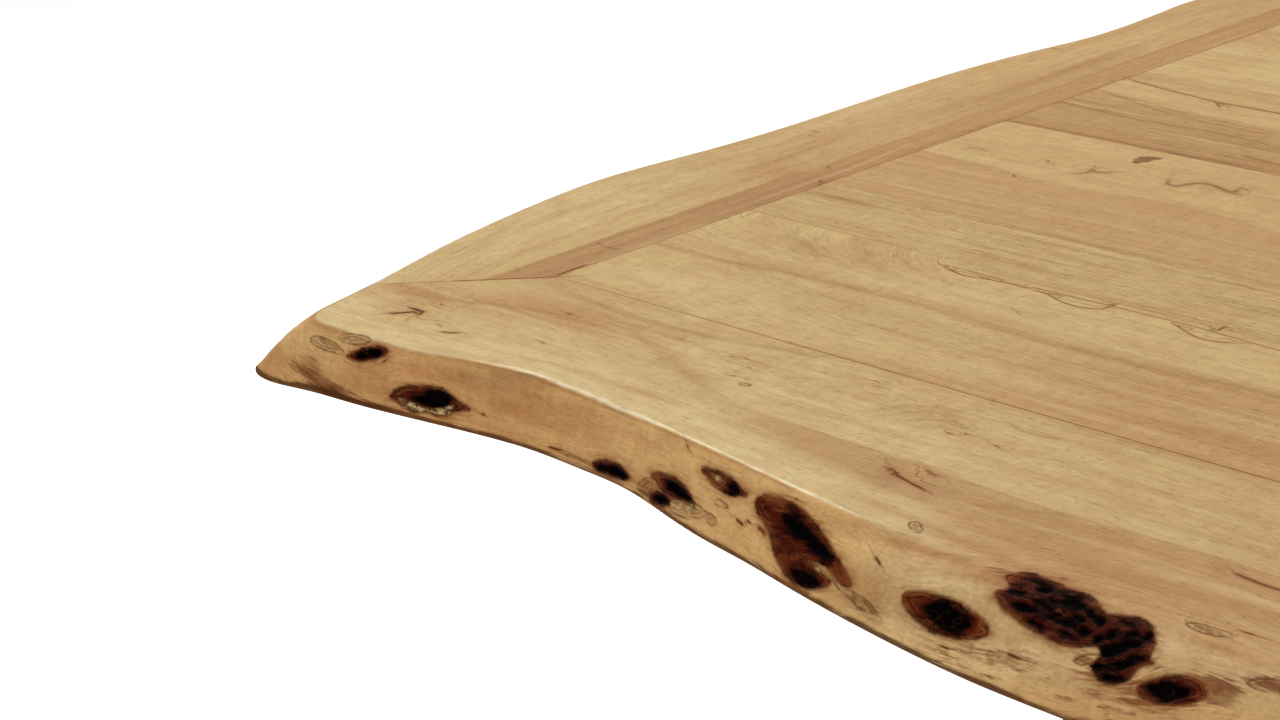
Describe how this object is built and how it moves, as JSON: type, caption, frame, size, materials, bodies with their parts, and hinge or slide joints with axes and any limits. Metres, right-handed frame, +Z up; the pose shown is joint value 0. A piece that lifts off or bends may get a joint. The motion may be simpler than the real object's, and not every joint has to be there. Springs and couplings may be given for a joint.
{
  "type": "dining table",
  "caption": "Rectangular live-edge wooden dining table with mitred natural-edge boards around a plank field, carried on box-shaped steel legs with screw levelling feet.",
  "frame": {"origin": "on the floor, midway along and across the whole table", "axes": "+X along the length of the table, +Y to its rear, +Z up"},
  "size_m": [2.1302, 1.0698, 0.76],
  "materials": {
    "live_edge_wood": "satin lacquer, oiled look",
    "plank_wood": "satin lacquer, oiled look",
    "joinery_wood": "plain planed hardwood",
    "batten_wood": "satin lacquer",
    "black_powder_coat": "fine-textured matt powder coat",
    "zinc_steel": "bright zinc plate",
    "brass": "machined",
    "foot_plastic": "moulded, matt",
    "sole_rubber": "matt"
  },
  "bodies": {
    "table": {"front_live_edge_board": "live_edge_wood", "rear_live_edge_board": "live_edge_wood", "left_end_live_edge_board": "live_edge_wood", "right_end_live_edge_board": "live_edge_wood", "field_plank_1": "plank_wood", "field_plank_2": "plank_wood", "field_plank_3": "plank_wood", "field_plank_4": "plank_wood", "field_plank_5": "plank_wood", "field_plank_6": "plank_wood", "left_end_tongue": "joinery_wood", "right_end_tongue": "joinery_wood", "mitre_splines": "joinery_wood", "edge_dowels": "joinery_wood", "left_batten": "batten_wood", "right_batten": "batten_wood", "batten_screws": "zinc_steel", "batten_washers": "zinc_steel", "leg_bolts": "zinc_steel", "leg_bolt_washers": "zinc_steel", "jam_nuts": "zinc_steel", "leveller_bushes": "zinc_steel", "threaded_inserts": "brass", "left_leg_mounting_plate": "black_powder_coat", "left_leg_top_rail": "black_powder_coat", "left_leg_front_post": "black_powder_coat", "left_leg_rear_post": "black_powder_coat", "left_leg_floor_rail": "black_powder_coat", "right_leg_mounting_plate": "black_powder_coat", "right_leg_top_rail": "black_powder_coat", "right_leg_front_post": "black_powder_coat", "right_leg_rear_post": "black_powder_coat", "right_leg_floor_rail": "black_powder_coat"},
    "front_left_foot": {"front_left_foot_pad": "foot_plastic", "front_left_foot_sole": "sole_rubber"},
    "front_left_stud": {"front_left_foot_stud": "zinc_steel"},
    "front_right_foot": {"front_right_foot_pad": "foot_plastic", "front_right_foot_sole": "sole_rubber"},
    "front_right_stud": {"front_right_foot_stud": "zinc_steel"},
    "rear_left_foot": {"rear_left_foot_pad": "foot_plastic", "rear_left_foot_sole": "sole_rubber"},
    "rear_left_stud": {"rear_left_foot_stud": "zinc_steel"},
    "rear_right_foot": {"rear_right_foot_pad": "foot_plastic", "rear_right_foot_sole": "sole_rubber"},
    "rear_right_stud": {"rear_right_foot_stud": "zinc_steel"}
  },
  "joints": [
    {"name": "front_left_foot_height", "type": "slide", "parent": "table", "child": "front_left_foot", "axis": [0, 0, -1], "range_m": [0, 0.012]},
    {"name": "front_left_stud_turn", "type": "hinge", "parent": "front_left_foot", "child": "front_left_stud", "pos_m": [-0.58, -0.29, 0.012], "axis": [0, 0, -1], "range_deg": [0, 2880.5]},
    {"name": "front_right_foot_height", "type": "slide", "parent": "table", "child": "front_right_foot", "axis": [0, 0, -1], "range_m": [0, 0.012]},
    {"name": "front_right_stud_turn", "type": "hinge", "parent": "front_right_foot", "child": "front_right_stud", "pos_m": [0.58, -0.29, 0.012], "axis": [0, 0, -1], "range_deg": [0, 2880.5]},
    {"name": "rear_left_foot_height", "type": "slide", "parent": "table", "child": "rear_left_foot", "axis": [0, 0, -1], "range_m": [0, 0.012]},
    {"name": "rear_left_stud_turn", "type": "hinge", "parent": "rear_left_foot", "child": "rear_left_stud", "pos_m": [-0.58, 0.29, 0.012], "axis": [0, 0, -1], "range_deg": [0, 2880.5]},
    {"name": "rear_right_foot_height", "type": "slide", "parent": "table", "child": "rear_right_foot", "axis": [0, 0, -1], "range_m": [0, 0.012]},
    {"name": "rear_right_stud_turn", "type": "hinge", "parent": "rear_right_foot", "child": "rear_right_stud", "pos_m": [0.58, 0.29, 0.012], "axis": [0, 0, -1], "range_deg": [0, 2880.5]}
  ],
  "couplings": [
    {"joint": "front_left_stud_turn", "follows": "front_left_foot_height", "rad_per_m": 4188.8},
    {"joint": "front_right_stud_turn", "follows": "front_right_foot_height", "rad_per_m": 4188.8},
    {"joint": "rear_left_stud_turn", "follows": "rear_left_foot_height", "rad_per_m": 4188.8},
    {"joint": "rear_right_stud_turn", "follows": "rear_right_foot_height", "rad_per_m": 4188.8}
  ]
}
